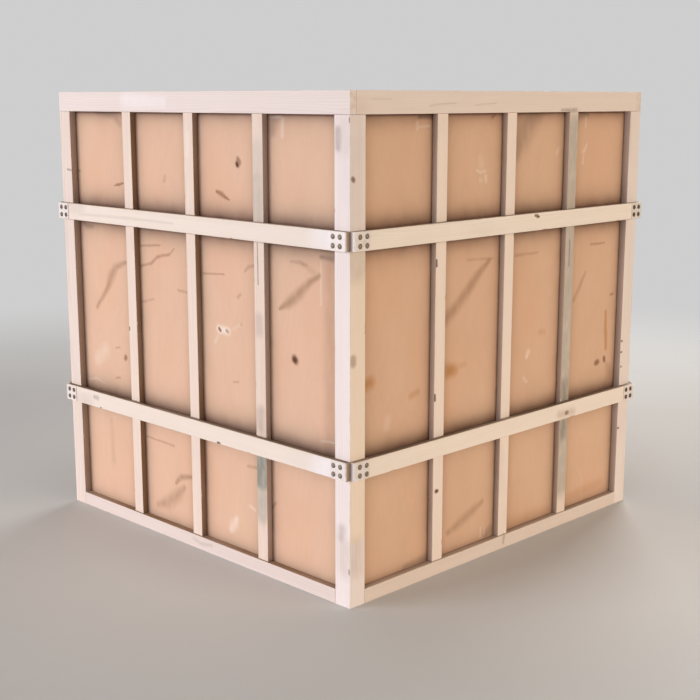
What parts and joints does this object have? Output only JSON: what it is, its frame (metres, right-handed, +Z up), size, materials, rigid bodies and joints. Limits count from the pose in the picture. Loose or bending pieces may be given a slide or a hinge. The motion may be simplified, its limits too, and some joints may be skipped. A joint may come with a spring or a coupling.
{
  "type": "shipping crate",
  "caption": "Square cleated plywood shipping crate with recessed studs, timber battens joined by steel corner brackets, and a drop-in lid that lifts off an empty cargo space.",
  "frame": {"origin": "on the floor, under the centre of the crate's square plan", "axes": "+Z up; -Y out of the front wall, +X out of the right wall"},
  "size_m": [1.5, 1.5, 1.5],
  "materials": {
    "frame_timber": "planed softwood, unfinished",
    "batten_timber": "planed softwood, unfinished",
    "plywood": "sanded plywood, scuffed",
    "zinc_steel": "zinc plated sheet, satin",
    "screw_steel": "zinc plated"
  },
  "bodies": {
    "crate": {"front_wall_plywood": "plywood", "front_top_rail": "frame_timber", "front_bottom_rail": "frame_timber", "front_stud_1": "frame_timber", "front_stud_2": "frame_timber", "front_stud_3": "frame_timber", "front_lower_batten": "batten_timber", "front_upper_batten": "batten_timber", "right_wall_plywood": "plywood", "right_top_rail": "frame_timber", "right_bottom_rail": "frame_timber", "right_stud_1": "frame_timber", "right_stud_2": "frame_timber", "right_stud_3": "frame_timber", "right_lower_batten": "batten_timber", "right_upper_batten": "batten_timber", "back_wall_plywood": "plywood", "back_top_rail": "frame_timber", "back_bottom_rail": "frame_timber", "back_stud_1": "frame_timber", "back_stud_2": "frame_timber", "back_stud_3": "frame_timber", "back_lower_batten": "batten_timber", "back_upper_batten": "batten_timber", "left_wall_plywood": "plywood", "left_top_rail": "frame_timber", "left_bottom_rail": "frame_timber", "left_stud_1": "frame_timber", "left_stud_2": "frame_timber", "left_stud_3": "frame_timber", "left_lower_batten": "batten_timber", "left_upper_batten": "batten_timber", "post_front_right": "frame_timber", "post_back_right": "frame_timber", "post_back_left": "frame_timber", "post_front_left": "frame_timber", "lower_bracket_front_right": "zinc_steel", "lower_bracket_back_right": "zinc_steel", "lower_bracket_back_left": "zinc_steel", "lower_bracket_front_left": "zinc_steel", "upper_bracket_front_right": "zinc_steel", "upper_bracket_back_right": "zinc_steel", "upper_bracket_back_left": "zinc_steel", "upper_bracket_front_left": "zinc_steel", "floor_plywood": "plywood", "floor_bearer_left": "frame_timber", "floor_bearer_middle": "frame_timber", "floor_bearer_right": "frame_timber"},
    "lid": {"lid_plywood": "plywood", "lid_board_front": "frame_timber", "lid_board_back": "frame_timber", "lid_board_right": "frame_timber", "lid_board_left": "frame_timber", "lid_batten_left": "frame_timber", "lid_batten_middle": "frame_timber", "lid_batten_right": "frame_timber", "lid_screw_front_left": "screw_steel", "lid_screw_front_right": "screw_steel", "lid_screw_back_left": "screw_steel", "lid_screw_back_right": "screw_steel"}
  },
  "joints": [
    {"name": "lid_lift", "type": "slide", "parent": "crate", "child": "lid", "axis": [0, 0, 1], "range_m": [0, 0.5]}
  ]
}
